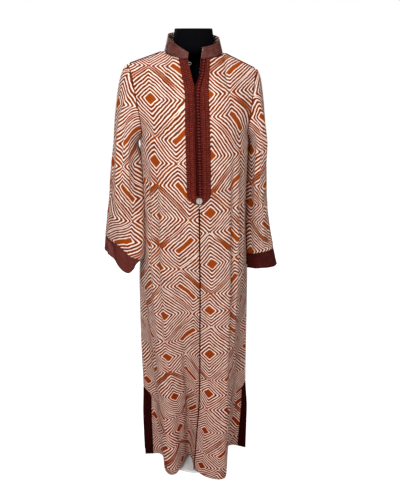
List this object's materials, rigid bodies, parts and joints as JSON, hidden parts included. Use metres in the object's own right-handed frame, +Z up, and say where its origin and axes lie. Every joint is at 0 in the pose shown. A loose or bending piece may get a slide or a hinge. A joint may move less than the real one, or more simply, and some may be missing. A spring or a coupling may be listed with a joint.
{
  "type": "djellaba robe on a limbless dress form",
  "caption": "Long-sleeved floor-length djellaba robe with stand collar, V neck with braid trim, knot closure and vented sides, filled out on a limbless dress form with a round base.",
  "frame": {"origin": "centre of the round base's underside, on the floor", "axes": "+Z up, the robe's front faces -Y, +X is to the right of someone who looks at the front"},
  "size_m": [0.558, 0.3294, 1.539],
  "materials": {
    "print": "smooth crepe, off-white ground with rust nested lozenges",
    "satin": "dark red-brown satin",
    "braid": "rows of rust-brown herringbone braid",
    "cord": "dark silk cord and knots",
    "disc": "pale grey cast disc",
    "metal": "plain steel",
    "form": "matte black jersey over the form",
    "lacquer": "white lacquered steel plate"
  },
  "bodies": {
    "root": {"front_left": "print", "front_right": "print", "back_panel": "print", "sleeve_left": "print", "sleeve_right": "print", "cuff_left": "satin", "cuff_right": "satin", "collar": "satin", "facing_front_left": "satin", "facing_front_right": "satin", "facing_back_left": "satin", "facing_back_right": "satin", "trim_left": "braid", "trim_right": "braid", "knot_row": "cord", "centre_cord": "cord", "shoulder_cord_left": "cord", "shoulder_cord_right": "cord", "side_cord_left": "cord", "side_cord_right": "cord", "disc_button": "disc", "eye_loop": "metal", "form": "form", "stand_pole": "metal", "stand_base": "lacquer"}
  },
  "joints": []
}
